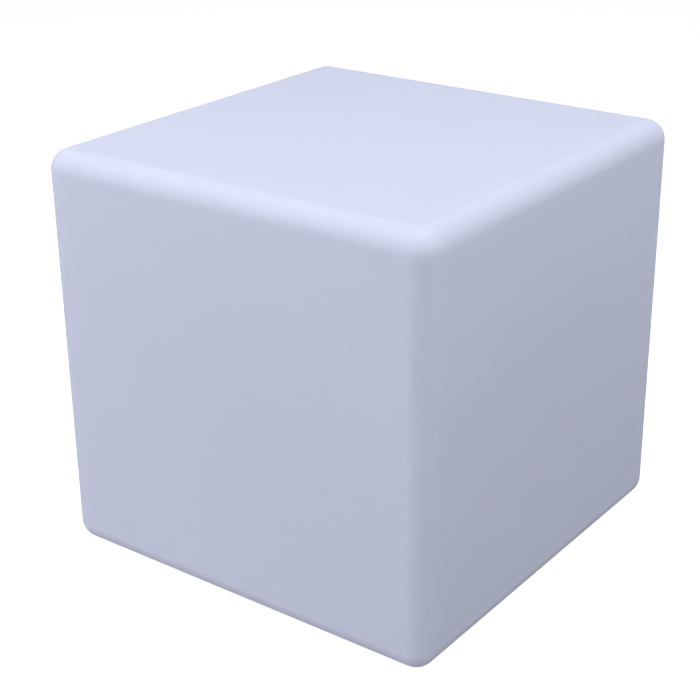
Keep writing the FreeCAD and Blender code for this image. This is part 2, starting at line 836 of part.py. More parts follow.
def make_lens():
    """The clear lens: a flat plate, bonded in the drum's rim."""
    return turned("lens", [(0, rim), (s.drum_radius, rim), (s.drum_radius, lens_top), (0, lens_top)])


# ---- power switch ----

BUTTON_LENGTH = 6
BORE_SPARE = 0.1
BEZEL_BEVEL = 0.7
switch_face = panel_under
bezel_under = switch_face - s.bezel_height
button_top = bezel_under + BUTTON_LENGTH
bore_top = button_top + s.button_travel + BORE_SPARE


def make_nut(name, x, barrel_radius, level):
    """A hexagonal panel nut."""
    body = new_body(name)
    sketch = new_sketch(body, lift=level)
    add_polygon(sketch, x, 6, s.nut_flats / 2 * HEX_CORNER)
    add_circle(sketch, x, 0, barrel_radius + s.thread_gap)
    pad(body, sketch, s.nut_height)
    return body


def make_switch():
    """The switch's bezel and barrel, hollow for the button, with two solder tags."""
    bore = s.button_radius + s.button_gap
    end = switch_face + s.switch_length
    profile = [
        (bore, bezel_under),
        (s.bezel_radius - BEZEL_BEVEL, bezel_under),
        (s.bezel_radius, bezel_under + BEZEL_BEVEL),
        (s.bezel_radius, switch_face),
        (s.switch_radius, switch_face),
        (s.switch_radius, end),
        (0, end),
        (0, bore_top),
        (bore, bore_top),
    ]
    body = turned("switch_body", profile, across=-s.button_x)
    add_tags(body, -s.button_x, end)
    return body


TAG_SPREAD = 2
TAG_LENGTH = 2.5


def add_tags(body, x, level):
    """Two solder tags, side by side along X."""
    for shift in (-TAG_SPREAD, TAG_SPREAD):
        add_block(body, x + shift, 0, 0.6, 2, level, TAG_LENGTH)


def make_button():
    """The button's cap, with a dished face."""
    cap_under = bezel_under - s.button_proud
    profile = [
        (0, cap_under + 0.4),
        (s.button_radius - 1.8, cap_under + 0.4),
        (s.button_radius - 1, cap_under),
        (s.button_radius, cap_under),
        (s.button_radius, button_top),
        (0, button_top),
    ]
    return turned("power_button", profile, across=-s.button_x)


# ---- charging socket and its cover ----

socket_front = well_bottom
socket_seat = socket_front + s.socket_lip
socket_back = socket_front + s.socket_length


def make_socket():
    """The charging socket: a lipped barrel with a blind hole, and two solder tags."""
    profile = [
        (s.socket_bore, socket_front),
        (s.socket_lip_radius, socket_front),
        (s.socket_lip_radius, socket_seat),
        (s.socket_radius, socket_seat),
        (s.socket_radius, socket_back),
        (0, socket_back),
        (0, socket_front + s.socket_depth),
        (s.socket_bore, socket_front + s.socket_depth),
    ]
    body = turned("charge_socket", profile, across=s.socket_x)
    add_tags(body, s.socket_x, socket_back)
    return body


def make_contact():
    """The socket's centre pin, with a rounded tip."""
    tip = socket_front + s.contact_sink
    profile = [
        (0, tip),
        (s.contact_radius - 0.4, tip),
        (s.contact_radius, tip + 0.4),
        (s.contact_radius, socket_front + s.socket_depth),
        (0, socket_front + s.socket_depth),
    ]
    return turned("socket_contact", profile, across=s.socket_x)


def cover_plate(name, cut_low, cut_high):
    """The cover's plate, less what lies between two distances from the panel's middle."""
    body = new_body(name)
    sketch = new_sketch(body, lift=panel_under)
    add_stadium(sketch, cover_root_x, cover_tip_x, s.cover_half_width)
    pad(body, sketch, s.cover_thickness)
    rest = new_sketch(body, lift=panel_under)
    add_box(rest, cut_low, -s.cover_half_width - 1, cut_high, s.cover_half_width + 1)
    pocket(body, rest, s.cover_thickness)
    return body


def make_cover():
    """The charging cover: plate, plug for the socket's mouth, and ribs to grip it by."""
    fixed_end = cover_root_x - s.cover_half_width - 1
    body = cover_plate("charge_cover", fixed_end, s.hinge_x + s.bend_gap / 2)
    plug = new_sketch(body, "XZ_Plane", across=s.socket_x)
    root = panel_under + s.cover_thickness
    end = root + s.cover_lift + PLUG_REACH
    wide = s.socket_bore - 0.3
    add_outline(plug, [(0, root - 1), (wide, root - 1), (wide, root), (wide - 0.7, end), (0, end)])
    revolve(body, plug)
    first = cover_tip_x + s.cover_half_width - 3
    for number in range(3):
        x = first - number * RIB_PITCH
        add_block(body, x, 0, 0.8, 7 + number * 2, panel_under - 0.4, 0.9)
    return body


PLUG_REACH = 2
RIB_PITCH = 1.8


def make_cover_root():
    """The cover's fixed end, held by a stem whose head is pulled through the well."""
    free_end = cover_tip_x + s.cover_half_width + 1
    body = cover_plate("cover_root", s.hinge_x - s.bend_gap / 2, free_end)
    root = panel_under + s.cover_thickness
    head = STEM_RADIUS + 0.9
    profile = [
        (0, root - 1),
        (STEM_RADIUS, root - 1),
        (STEM_RADIUS, well_top + 0.1),
        (head, well_top + 0.1),
        (head, well_top + 1.3),
        (0, well_top + 1.3),
    ]
    sketch = new_sketch(body, "XZ_Plane", across=cover_root_x - STEM_SET_BACK)
    revolve(body, add_outline(sketch, profile))
    return body


# ---- leads ----

ROUTE_LEVEL = led_board_under.value - 3.5
LEAD_BEND = 2.2


def flat_lead(name, points, wires):
    """A flat lead of wires side by side, bent in the upright plane that its points lie in."""
    edges = []
    start = points[0]
    for corner, after in zip(points[1:-1], points[2:]):
        into = (corner - start).normalize()
        away = (after - corner).normalize()
        half_turn = into.getAngle(away) / 2
        setback = LEAD_BEND * math.tan(half_turn)
        first, last = corner - into * setback, corner + away * setback
        inward = (away - into).normalize()
        middle = corner + inward * (LEAD_BEND / math.cos(half_turn) - LEAD_BEND)
        edges.append(Part.LineSegment(start, first).toShape())
        edges.append(Part.Arc(first, middle, last).toShape())
        start = last
    edges.append(Part.LineSegment(start, points[-1]).toShape())
    along = (points[1] - points[0]).normalize()
    across = along.cross(points[2] - points[1]).normalize() * (wires * s.wire_radius.value)
    thick = along.cross(across).normalize() * s.wire_radius.value
    corners = [(-1, -1), (1, -1), (1, 1), (-1, 1), (-1, -1)]
    section = Part.makePolygon([points[0] + across * a + thick * b for a, b in corners])
    feature = doc.addObject("Part::Feature", name)
    feature.Label = name
    feature.Shape = Part.Wire(edges).makePipeShell([section], True, False)
    return feature


def plug_top(plug):
    """The middle of a plug's top."""
    return Vector(PLUGS[plug][0], PLUG_Y.value, board_top.value + PLUG_HEIGHT)


def make_tag_lead(name, plug, x, level):
    """A lead from a pair of solder tags, over the top of everything, to its plug."""
    end = plug_top(plug)
    up = Vector(x, 0, ROUTE_LEVEL)
    return flat_lead(name, [Vector(x, 0, level), up, Vector(end.x, end.y, up.z), end], 2)


def make_led_lead():
    """A lead from its plug, up through the LED board's slot and over onto its pads."""
    start = plug_top("led")
    slot, land = LED_SLOT_Y.value, LED_PAD_Y.value
    high = led_board_top.value + 3.7
    route = [
        (start.y, start.z),
        (start.y, ROUTE_LEVEL),
        (slot, ROUTE_LEVEL),
        (slot, high),
        (land, high),
        (land, led_board_top.value),
    ]
    points = [Vector(start.x, y, z) for y, z in route]
    return flat_lead("led_lead", points, PLUGS["led"][1])


def make_battery_lead():
    """A lead from the valley between the cells, over the nearer cell, to its plug."""
    end = plug_top("battery")
    y = between_cells.value
    valley = cell_level.value + s.cell_radius.value * 0.6
    start = Vector(end.x, y, valley)
    return flat_lead(
        "battery_lead",
        [start, Vector(end.x, y, ROUTE_LEVEL), Vector(end.x, end.y, ROUTE_LEVEL), end],
        PLUGS["battery"][1],
    )


def make_all():
    """Every sub-part, in the order that they are put together."""
    make_shell()
    make_housing()
    make_gasket()
    make_flange_screws()
    make_cells()
    make_tabs()
    make_strap()
    make_strap_screw()
    make_control_board()
    make_chips()
    make_coil()
    make_capacitor()
    make_headers()
    make_plugs()
    make_led_board()
    led_rings("leds", s.led_size, led_board_top, s.led_height)
    led_rings("led_windows", s.window_size, led_board_top + s.led_height, s.window_height)
    make_receiver()
    make_lens()
    make_switch()
    make_button()
    make_nut("switch_nut", -s.button_x, s.switch_radius, panel_top)
    make_socket()
    make_contact()
    make_nut("socket_nut", s.socket_x, s.socket_radius, well_top)
    make_cover()
    make_cover_root()
    make_tag_lead("switch_lead", "switch", -s.button_x.value, switch_tag_top())
    make_tag_lead("socket_lead", "socket", s.socket_x.value, socket_back.value + TAG_LENGTH)
    make_battery_lead()
    make_led_lead()


def switch_tag_top():
    return (switch_face + s.switch_length).value + TAG_LENGTH


TOOLS = {"shell_core"}


def check_and_write():
    """Stops on any failed object or shape, and then writes one STEP file for each sub-part."""
    doc.recompute()
    failed = [o.Name for o in doc.Objects if {"Invalid", "Error"} & set(o.State)]
    if failed:
        raise RuntimeError(f"these objects failed: {failed}")
    kinds = ("PartDesign::Body", "Part::Feature")
    pieces = [o for o in doc.Objects if o.TypeId in kinds and o.Label not in TOOLS]
    for piece in pieces:
        if piece.Shape.isNull() or not piece.Shape.isValid() or not piece.Shape.Solids:
            raise RuntimeError(f"{piece.Label} has no valid solid")
    os.makedirs("parts", exist_ok=True)
    for piece in pieces:
        piece.Shape.exportStep(os.path.join("parts", piece.Label + ".step"))
        print(f"{piece.Label}: {len(piece.Shape.Solids)} solids, {piece.Shape.Volume:.1f} mm3")


make_all()
check_and_write()
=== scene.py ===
"""The looks of a cube light: a milky moulded cube, unlit, with its module in the base."""

import json
import math

import bmesh
import bpy
from mathutils import Matrix, Vector


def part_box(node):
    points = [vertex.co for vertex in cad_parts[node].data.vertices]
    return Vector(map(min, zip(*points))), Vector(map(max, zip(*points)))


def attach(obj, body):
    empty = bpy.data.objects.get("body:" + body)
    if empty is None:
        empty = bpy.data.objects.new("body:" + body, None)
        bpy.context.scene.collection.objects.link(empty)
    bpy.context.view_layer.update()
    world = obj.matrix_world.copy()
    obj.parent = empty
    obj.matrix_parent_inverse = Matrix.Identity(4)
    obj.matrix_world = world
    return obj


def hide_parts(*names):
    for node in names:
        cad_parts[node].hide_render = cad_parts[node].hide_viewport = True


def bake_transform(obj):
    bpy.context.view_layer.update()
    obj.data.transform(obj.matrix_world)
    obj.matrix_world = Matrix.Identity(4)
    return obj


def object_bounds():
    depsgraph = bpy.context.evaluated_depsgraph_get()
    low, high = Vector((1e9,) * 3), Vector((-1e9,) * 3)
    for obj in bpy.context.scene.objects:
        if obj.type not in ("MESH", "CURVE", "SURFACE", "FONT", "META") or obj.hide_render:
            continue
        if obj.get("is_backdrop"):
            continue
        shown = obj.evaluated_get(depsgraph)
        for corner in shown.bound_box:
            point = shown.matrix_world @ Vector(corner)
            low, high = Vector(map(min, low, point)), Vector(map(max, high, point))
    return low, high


MM = 0.001
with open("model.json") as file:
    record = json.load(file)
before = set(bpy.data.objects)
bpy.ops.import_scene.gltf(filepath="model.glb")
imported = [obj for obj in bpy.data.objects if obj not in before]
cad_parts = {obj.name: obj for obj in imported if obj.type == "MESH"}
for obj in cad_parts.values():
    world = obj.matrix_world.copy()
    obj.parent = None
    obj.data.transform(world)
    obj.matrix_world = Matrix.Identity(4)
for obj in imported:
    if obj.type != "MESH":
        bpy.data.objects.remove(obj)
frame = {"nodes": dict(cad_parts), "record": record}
bounds_at_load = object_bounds()
nodes = frame["nodes"]


def box_of(node):
    """A node's lowest and highest corner."""
    low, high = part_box(node)
    return Vector(low), Vector(high)


def middle_of(node):
    """The middle of a node's box."""
    low, high = box_of(node)
    return (low + high) / 2


# ---- materials ----

SHELL_COLOR = (0.692, 0.732, 0.872)
WHITE = (0.78, 0.78, 0.77)
STEEL = (0.62, 0.61, 0.59)
METAL = {"Metallic": 1.0}

GLOSS_SPREAD = 0.04
RELIEF_STRENGTH = 0.5
BEVEL_SAMPLES = 4


class Nodes:
    """A short way to build a material's node tree."""

    def __init__(self, name):
        self.material = bpy.data.materials.new(name)
        self.material.use_nodes = True
        self.tree = self.material.node_tree
        self.tree.nodes.clear()

    def add(self, kind, inputs=None, **settings):
        """Adds a node. An input is a plain value, or another node's output."""
        node = self.tree.nodes.new(kind)
        for name, value in settings.items():
            setattr(node, name, value)
        for name, value in (inputs or {}).items():
            if isinstance(value, bpy.types.NodeSocket):
                self.tree.links.new(value, node.inputs[name])
            else:
                node.inputs[name].default_value = value
        return node

    def finish(self, shader):
        """Ties the shader to the material's output."""
        output = self.add("ShaderNodeOutputMaterial")
        self.tree.links.new(shader, output.inputs["Surface"])
        return self.material


def shaded(color, factor):
    """A colour, made lighter or darker."""
    return (*(min(1.0, channel * factor) for channel in color), 1.0)


def surface(
    name,
    color,
    rough,
    grain=400,
    cloud=33,
    mottle=0.04,
    tint=(1.0, 1.0, 1.0),
    bump=0.05,
    edge=0.25,
    **extra,
):
    """A surface with faint mottling, a fine grain and softened edges.

    grain and cloud are the fine and wide patterns' frequencies in turns per metre, and tint is
    the hue that the clouds lean towards. bump is the grain's height and edge the edges' radius,
    both in millimetres. extra holds more settings of the main shader.
    """
    n = Nodes(name)
    place = n.add("ShaderNodeTexCoord").outputs["Object"]
    wide = n.add("ShaderNodeTexNoise", {"Vector": place, "Scale": cloud, "Detail": 3.0})
    fine = n.add("ShaderNodeTexNoise", {"Vector": place, "Scale": grain, "Detail": 2.0})
    leaning = [channel * share for channel, share in zip(color, tint)]
    ramp = n.add("ShaderNodeValToRGB", {"Fac": wide.outputs["Fac"]})
    ramp.color_ramp.elements[0].color = shaded(color, 1 - mottle)
    ramp.color_ramp.elements[1].color = shaded(leaning, 1 + mottle)
    gloss = n.add("ShaderNodeMapRange", {"Value": wide.outputs["Fac"]})
    gloss.inputs["To Min"].default_value = rough - GLOSS_SPREAD
    gloss.inputs["To Max"].default_value = rough + GLOSS_SPREAD
    round_edge = n.add("ShaderNodeBevel", {"Radius": edge * MM}, samples=BEVEL_SAMPLES)
    relief = n.add(
        "ShaderNodeBump",
        {
            "Height": fine.outputs["Fac"],
            "Strength": RELIEF_STRENGTH,
            "Distance": bump * MM,
            "Normal": round_edge.outputs["Normal"],
        },
    )
    inputs = {
        "Base Color": ramp.outputs["Color"],
        "Roughness": gloss.outputs["Result"],
        "Normal": relief.outputs["Normal"],
    }
    inputs.update(extra)
    shader = n.add("ShaderNodeBsdfPrincipled", inputs)
    return n.finish(shader.outputs["BSDF"])


def milky_shell():
    """Milky polyethylene: light goes a little way into it and comes out bluish."""
    return surface(
        "milky_shell",
        SHELL_COLOR,
        0.5,
        grain=900,
        cloud=11,
        mottle=0.010,
        tint=(0.96, 0.97, 1.03),
        bump=0.03,
        edge=0.5,
        **{
            "Subsurface Weight": 0.6,
            "Subsurface Radius": (1.0, 1.0, 1.15),
            "Subsurface Scale": 24 * MM,
            "Specular IOR Level": 0.3,
        },
    )


def make_materials():
    """One material for each of the record's slots."""
    return {
        "milky_shell": milky_shell(),
        "white_abs": surface("white_abs", WHITE, 0.5, grain=1800, bump=0.06),
        "grey_silicone": surface("grey_silicone", (0.22, 0.22, 0.24), 0.6),
        "stainless": surface("stainless", STEEL, 0.3, grain=900, bump=0.01, **METAL),
        "cell_wrap": surface("cell_wrap", (0.03, 0.12, 0.32), 0.3, bump=0.02),
        "nickel": surface("nickel", (0.58, 0.55, 0.49), 0.35, bump=0.01, **METAL),
        "green_board": surface("green_board", (0.01, 0.09, 0.03), 0.35, bump=0.01),
        "white_board": surface("white_board", (0.82, 0.82, 0.80), 0.4, bump=0.01),
        "black_epoxy": surface("black_epoxy", (0.015, 0.015, 0.018), 0.5),
        "ferrite": surface("ferrite", (0.04, 0.04, 0.045), 0.6),
        "can_aluminium": surface("can_aluminium", (0.72, 0.72, 0.74), 0.25, bump=0.01, **METAL),
        "cream_nylon": surface("cream_nylon", (0.78, 0.72, 0.55), 0.5),
        "led_package": surface("led_package", (0.85, 0.85, 0.82), 0.45),
        "led_phosphor": surface("led_phosphor", (0.85, 0.62, 0.08), 0.3),
        "clear_pc": surface(
            "clear_pc",
            (0.97, 0.98, 0.99),
            0.08,
            mottle=0.005,
            bump=0.005,
            **{"Transmission Weight": 1.0, "IOR": 1.58},
        ),
        "black_metal": surface("black_metal", (0.03, 0.03, 0.034), 0.38, bump=0.01),
        "button_metal": surface("button_metal", (0.56, 0.56, 0.57), 0.28, bump=0.01, **METAL),
        "brass_nickel": surface("brass_nickel", (0.66, 0.63, 0.58), 0.25, bump=0.01, **METAL),
        "black_pbt": surface("black_pbt", (0.02, 0.02, 0.023), 0.45),
        "cover_rubber": surface(
            "cover_rubber", (0.045, 0.047, 0.052), 0.62, grain=2400, bump=0.08
        ),
        "wire_black": surface("wire_black", (0.02, 0.02, 0.02), 0.4),
        "wire_red": surface("wire_red", (0.38, 0.01, 0.01), 0.4),
        "wire_white": surface("wire_white", (0.70, 0.70, 0.68), 0.4),
    }


materials = make_materials()


def finish_with(piece, slot):
    """Gives a piece one material, and ties it to the record's slot of that name."""
    piece.data.materials.clear()
    piece.data.materials.append(materials[slot])
    return piece


for part in frame["record"]["subparts"]:
    finish_with(nodes[part["node"]], part["material_slot"])


# ---- meshes ----

SMOOTH_ANGLE = 35
ON_AXIS = 1e-9
WELD_DISTANCE = 1e-7
QUARTER_STEPS = 6


def make_object(name, points, faces):
    """A mesh object with smooth shading."""
    mesh = bpy.data.meshes.new(name)
    mesh.from_pydata([tuple(point) for point in points], [], faces)
    mesh.validate()
    piece = bpy.data.objects.new(name, mesh)
    bpy.context.collection.objects.link(piece)
    soften(piece)
    return piece


def soften(piece, angle=SMOOTH_ANGLE):
    """Smooth shading. Edges sharper than the angle, in degrees, stay sharp."""
    piece.data.shade_smooth()
    piece.data.set_sharp_from_angle(angle=math.radians(angle))


def lathe(points, centre, steps=64):
    """Points and faces of a profile of (radius, height) turned about an upright axis."""
    rows = []
    made, faces = [], []
    for radius, height in points:
        if radius < ON_AXIS:
            rows.append([len(made)])
            made.append(centre + Vector((0, 0, height)))
            continue
        rows.append(range(len(made), len(made) + steps))
        for step in range(steps):
            turn = 2 * math.pi * step / steps
            across, along = radius * math.cos(turn), radius * math.sin(turn)
            made.append(centre + Vector((across, along, height)))
    for low, high in zip(rows, rows[1:]):
        for step in range(steps):
            after = (step + 1) % steps
            ring = [low[step % len(low)], low[after % len(low)]]
            ring += [high[after % len(high)], high[step % len(high)]]
            faces.append(list(dict.fromkeys(ring)))
    return made, faces


def loft(rings):
    """Points and faces of a closed skin through rings of equally many points."""
    count = len(rings[0])
    points = [point for ring in rings for point in ring]
    faces = [list(range(count)), list(range(len(points) - count, len(points)))]
    for row in range(len(rings) - 1):
        base, above = row * count, (row + 1) * count
        for column in range(count):
            after = (column + 1) % count
            faces.append([base + column, base + after, above + after, above + column])
    return points, faces


def joined(parts):
    """Several lists of points and faces as one."""
    points, faces = [], []
    for more_points, more_faces in parts:
        faces += [[index + len(points) for index in face] for face in more_faces]
        points += more_points
    return points, faces


def facing_out(piece):
    """Turns all faces of a closed mesh outwards."""
    work = bmesh.new()
    work.from_mesh(piece.data)
    bmesh.ops.remove_doubles(work, verts=work.verts, dist=WELD_DISTANCE)
    bmesh.ops.recalc_face_normals(work, faces=work.faces)
    work.to_mesh(piece.data)
    work.free()
    return piece


def cut(piece, cutter, operation="DIFFERENCE"):
    """Takes a cutter's shape out of a piece, and removes the cutter."""
    step = piece.modifiers.new("cut", "BOOLEAN")
    step.operation = operation
    step.solver = "EXACT"
    step.object = cutter
    bpy.context.view_layer.update()
    graph = bpy.context.evaluated_depsgraph_get()
    done = bpy.data.meshes.new_from_object(piece.evaluated_get(graph))
    piece.modifiers.clear()
    piece.data = done
    bpy.data.objects.remove(cutter)
    return piece


# ---- the shell ----

EDGE_ROUND = 19 * MM
WALL = 5 * MM
SINK = 0.7 * MM
EDGE_STEPS = 8
FLAT_STEPS = 10
SHELL_SHARP_ANGLE = 32
POCKET_GAP = 3 * MM
POCKET_DRAFT = 1.2 * MM
MOUTH_ROUND = 3 * MM
GASKET_LIP = 1 * MM
ROUND_STEPS = 128

# How far the cutters go past what they cut.
BACKING_BELOW = 5 * MM
BACKING_FLARE = 6 * MM
CUT_PAST = 1 * MM
OPENING_REACH = 9 * MM


def face_line(half, radius):
    """Where the grid lines of a face lie: close together over the rounds, wide apart between."""
    inner = half - radius
    rounds = [math.tan(math.radians(45) * step / EDGE_STEPS) for step in range(1, EDGE_STEPS + 1)]
    high = [inner + radius * value for value in rounds]
    flat = [inner * (2 * step / FLAT_STEPS - 1) for step in range(FLAT_STEPS + 1)]
    return [-value for value in reversed(high)] + flat + high


def rounded_block(name, low, high, radius, sink=0.0):
    """A block with round edges, whose four sides sink in slightly as a cooling moulding's do."""
    centre, half = (low + high) / 2, (high - low) / 2
    points, faces = [], []
    lines = [face_line(half[axis], radius) for axis in range(3)]
    limit = [half[axis] - radius for axis in range(3)]
    for axis in range(3):
        first, second = (axis + 1) % 3, (axis + 2) % 3
        for side in (-1, 1):
            start = len(points)
            for u in lines[first]:
                for v in lines[second]:
                    flat = Vector((0, 0, 0))
                    flat[axis], flat[first], flat[second] = side * half[axis], u, v
                    core = Vector([max(-limit[k], min(limit[k], flat[k])) for k in range(3)])
                    point = core + (flat - core).normalized() * radius
                    if axis < 2:
                        across = max(0.0, 1 - (u / limit[first]) ** 2)
                        along = max(0.0, 1 - (v / limit[second]) ** 2)
                        point[axis] -= side * sink * (across * along) ** 2
                    points.append(centre + point)
            wide = len(lines[second])
            for row in range(len(lines[first]) - 1):
                for column in range(wide - 1):
                    corner = start + row * wide + column
                    faces.append([corner, corner + 1, corner + wide + 1, corner + wide])
    return facing_out(make_object(name, points, faces))


def quarter_turns():
    """The angles of a quarter circle's points, apart from its start."""
    return [math.radians(90 * step / QUARTER_STEPS) for step in range(1, QUARTER_STEPS + 1)]


def turned_piece(name, points, centre, steps=96):
    """A closed piece turned about an upright axis."""
    return facing_out(make_object(name, *lathe(points, centre, steps)))


def build_shell():
    """The cube's hollow moulding, with the round pocket that the module sits in."""
    low, high = box_of("shell")
    shell = rounded_block("shell_moulding", low, high, EDGE_ROUND, SINK)
    inset = Vector((WALL, WALL, WALL))
    core = rounded_block("core", low + inset, high - inset, EDGE_ROUND - WALL)
    seat = box_of("flange_gasket")[1].z
    pocket = box_of("module_housing")[1].x + POCKET_GAP
    on_floor = Vector((0, 0, 0))
    backing = [(0, -BACKING_BELOW), (pocket + BACKING_FLARE, -BACKING_BELOW)]
    backing += [(pocket + WALL, seat + WALL), (0, seat + WALL)]
    cut(core, turned_piece("backing", backing, on_floor))
    cut(shell, core)
    mouth = pocket + POCKET_DRAFT
    hollow = [(0, -CUT_PAST), (mouth + MOUTH_ROUND, -CUT_PAST), (mouth + MOUTH_ROUND, 0)]
    for turn in quarter_turns():
        across = mouth + MOUTH_ROUND * (1 - math.sin(turn))
        hollow.append((across, MOUTH_ROUND * (1 - math.cos(turn))))
    hollow += [(pocket, seat), (0, seat)]
    cut(shell, turned_piece("hollow", hollow, on_floor, ROUND_STEPS))
    gasket = nodes["flange_gasket"].data
    inner = min(math.hypot(v.co.x, v.co.y) for v in gasket.vertices) - GASKET_LIP
    under, over = seat - CUT_PAST, seat + OPENING_REACH
    through = [(0, under), (inner, under), (inner, over), (0, over)]
    cut(shell, turned_piece("opening", through, on_floor, ROUND_STEPS))
    soften(shell, SHELL_SHARP_ANGLE)
    even = shell.modifiers.new("even_normals", "WEIGHTED_NORMAL")
    even.keep_sharp = True
    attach(shell, "light")
    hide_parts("shell")
    return finish_with(shell, "milky_shell")


build_shell()


# ---- screws ----

SCREW_CIRCLE = 78 * MM
SCREW_COUNT = 4
SCREW_STEPS = 48
SHANK_RADIUS = 2 * MM

# Shares of a head's radius and height: its flat, its dome, and how high the dome rises.
HEAD_FLAT, HEAD_DOME, DOME_RISE = 0.72, 0.28, 0.55

# The cross's reach, its arm's half width as a share of that, its narrowing and its depth.
CROSS_REACH, CROSS_ARM, CROSS_TAPER, CROSS_DEPTH = 0.6, 0.22, 0.55, 1.5 * MM


def screw_cross(centre, reach, depth):
    """A cross-shaped cutter for a screw's drive, tapering inwards."""
    arm = reach * CROSS_ARM
    corner = [(arm, arm), (arm, reach), (-arm, reach)]
    outline = []
    for _ in range(4):
        outline += corner
        corner = [(-y, x) for x, y in corner]
    count = len(outline)
    points = [centre + Vector((x, y, -MM)) for x, y in outline]
    points += [centre + Vector((x * CROSS_TAPER, y * CROSS_TAPER, depth)) for x, y in outline]
    faces = [list(range(count)), list(range(2 * count - 1, count - 1, -1))]
    for first in range(count):
        after = (first + 1) % count
        faces.append([first, after, after + count, first + count])
    return facing_out(make_object("cross", points, faces))


def build_flange_screws():
    """Pan-head screws with cross drives, in place of the plain ones."""
    mesh = nodes["flange_screws"].data
    low, high = box_of("flange_screws")
    seat = box_of("module_housing")[0].z
    head = max(v.co.x for v in mesh.vertices if v.co.z < seat) - SCREW_CIRCLE
    height = seat - low.z
    profile = [(0, 0)]
    for turn in quarter_turns():
        across = head * (HEAD_FLAT + HEAD_DOME * math.sin(turn))
        profile.append((across, height * DOME_RISE * (1 - math.cos(turn))))
    length = high.z - low.z
    profile += [(head, height), (SHANK_RADIUS, height), (SHANK_RADIUS, length), (0, length)]
    parts = []
    for number in range(SCREW_COUNT):
        turn = math.radians(360 / SCREW_COUNT * number)
        place = Vector((SCREW_CIRCLE * math.cos(turn), SCREW_CIRCLE * math.sin(turn), low.z))
        screw = turned_piece("one_screw", profile, place, SCREW_STEPS)
        cut(screw, screw_cross(place, head * CROSS_REACH, CROSS_DEPTH))
        points = [v.co.copy() for v in screw.data.vertices]
        parts.append((points, [list(face.vertices) for face in screw.data.polygons]))
        bpy.data.objects.remove(screw)
    screws = make_object("pan_head_screws", *joined(parts))
    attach(screws, "light")
    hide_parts("flange_screws")
    return finish_with(screws, "stainless")


build_flange_screws()


# ---- the charging cover ----

HINGE_X = 8 * MM
NOTCH_HALF = 0.85 * MM
NOTCH = [value * MM for value in (-2, -1.4, -0.8, -0.5, -0.25, 0, 0.25, 0.5, 0.8, 1.4, 2)]
PAST_NOTCH = 3 * MM
STRIP = 0.8 * MM
COVER_THICKNESS = 2.8 * MM
COVER_EDGE = 0.7 * MM
COVER_SHARP_ANGLE = 40
END_STEPS = 12
PLATE_STEPS = 4

# The least share of its half width that the cover keeps at its ends.
END_SHARE = 0.04

# The most of a section's size that its corner takes, and the corner's steps.
CORNER_SHARE = 0.45
CORNER_STEPS = 4

PLUG_BOTTOM = 1 * MM
PLUG_RADIUS = 2.6 * MM
PLUG_LENGTH = 2.2 * MM
PLUG_TAPER = 0.7 * MM
PLUG_STEPS = 40

STEM_X = 4.5 * MM
STEM_BOTTOM = 2 * MM
STEM_RADIUS = 1.6 * MM
BULB_RADIUS = 2.5 * MM
BULB_HEIGHT = 1.3 * MM
STEM_STEPS = 32

RIB_COUNT = 3
RIB_SETBACK = 3 * MM

# The ribs' pitch and the first one's half length are in millimetres.
RIB_PITCH = 1.8
RIB_HALF = 3.5

RIB_RADIUS = 0.4 * MM
RIB_STEPS = 12
RIB_SIDES = 10

# How a rib thins towards its ends: the least share, and how suddenly.
RIB_END_SHARE = 0.15
RIB_END_POWER = 0.4


def cover_sections():
    """Stations along the cover: distance, half width, and how far up the plate's back is."""
    high = box_of("charge_cover")[1]
    root_low = box_of("cover_root")[0]
    half = high.y
    last = high.x - half
    back = root_low.z + COVER_THICKNESS
    stations = []
    for step in range(END_STEPS + 1):
        turn = math.radians(90 * step / END_STEPS)
        place = root_low.x + half * (1 - math.cos(turn))
        stations.append((place, half * max(END_SHARE, math.sin(turn)), back))
    for x in NOTCH:
        level = back if abs(x) > NOTCH_HALF else STRIP + root_low.z
        stations.append((HINGE_X + x, half, level))
    stations = [station for station in stations if station[0] <= HINGE_X + NOTCH[-1]]
    stations.sort(key=lambda station: station[0])
    for step in range(PLATE_STEPS + 1):
        way = (last - HINGE_X - PAST_NOTCH) * step / PLATE_STEPS
        stations.append((HINGE_X + PAST_NOTCH + way, half, back))
    for step in range(1, END_STEPS + 1):
        turn = math.radians(90 * step / END_STEPS)
        place = last + half * math.sin(turn)
        stations.append((place, half * max(END_SHARE, math.cos(turn)), back))
    return stations


def soft_section(x, half, low, high, soft):
    """A rectangle across the cover at x, with rounded corners."""
    points = []
    soft = min(soft, half * CORNER_SHARE, (high - low) * CORNER_SHARE)
    corners = [(half - soft, high - soft), (soft - half, high - soft)]
    corners += [(soft - half, low + soft), (half - soft, low + soft)]
    for quarter, (y, z) in enumerate(corners):
        for step in range(CORNER_STEPS + 1):
            turn = math.radians(90 * quarter + 90 / CORNER_STEPS * step)
            points.append(Vector((x, y + soft * math.cos(turn), z + soft * math.sin(turn))))
    return points


def build_cover():
    """The cover, its bending strip and its fixed end, as one soft moulding."""
    low = box_of("cover_root")[0].z
    rings = [soft_section(x, half, low, back, COVER_EDGE) for x, half, back in cover_sections()]
    parts = [loft(rings)]
    plug_place = Vector((middle_of("charge_socket").x, 0, low))
    parts.append(lathe(plug_profile(), plug_place, PLUG_STEPS))
    top = box_of("cover_root")[1].z - low
    parts.append(lathe(stem_profile(top), Vector((STEM_X, 0, low)), STEM_STEPS))
    cover = facing_out(make_object("cover_moulding", *joined(parts)))
    soften(cover, COVER_SHARP_ANGLE)
    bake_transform(cover)
    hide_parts("charge_cover", "cover_root")
    return finish_with(cover, "cover_rubber")


